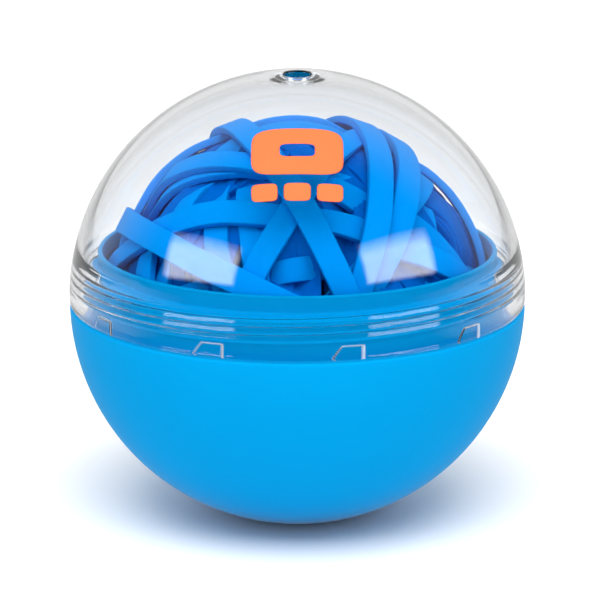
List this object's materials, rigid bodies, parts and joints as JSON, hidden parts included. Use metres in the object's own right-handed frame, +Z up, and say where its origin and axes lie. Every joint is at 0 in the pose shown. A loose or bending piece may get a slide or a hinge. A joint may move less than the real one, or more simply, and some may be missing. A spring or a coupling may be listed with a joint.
{
  "type": "rubber band ball",
  "caption": "Ball of wide flat rubber bands in a spherical capsule: coloured bowl with a screw neck, clear dome lid with a vent hole.",
  "frame": {"origin": "middle of the flat foot under the bowl, on the surface that it stands on", "axes": "+Z up through the vent hole of the dome; -Y to the front; +X to the right seen from the front"},
  "size_m": [0.07, 0.07, 0.0689],
  "materials": {
    "bowl_plastic": "satin moulded surface",
    "dome_plastic": "clear polished plastic",
    "band_rubber": "satin"
  },
  "bodies": {
    "base": {"bowl": "bowl_plastic", "inner_bands": "band_rubber", "band_01": "band_rubber", "band_02": "band_rubber", "band_03": "band_rubber", "band_04": "band_rubber", "band_05": "band_rubber", "band_06": "band_rubber", "band_07": "band_rubber", "band_08": "band_rubber", "band_09": "band_rubber", "band_10": "band_rubber", "band_11": "band_rubber", "band_12": "band_rubber", "band_13": "band_rubber", "band_14": "band_rubber", "band_15": "band_rubber", "band_16": "band_rubber", "band_17": "band_rubber", "band_18": "band_rubber", "band_19": "band_rubber", "band_20": "band_rubber", "band_21": "band_rubber", "band_22": "band_rubber", "band_23": "band_rubber", "band_24": "band_rubber", "band_25": "band_rubber", "band_26": "band_rubber", "band_27": "band_rubber", "band_28": "band_rubber", "band_29": "band_rubber", "band_30": "band_rubber", "band_31": "band_rubber"},
    "dome": {"clear_dome": "dome_plastic"}
  },
  "joints": [
    {"name": "dome_lift", "type": "slide", "parent": "base", "child": "dome", "axis": [0, 0, 1], "range_m": [0, 0.032]}
  ]
}
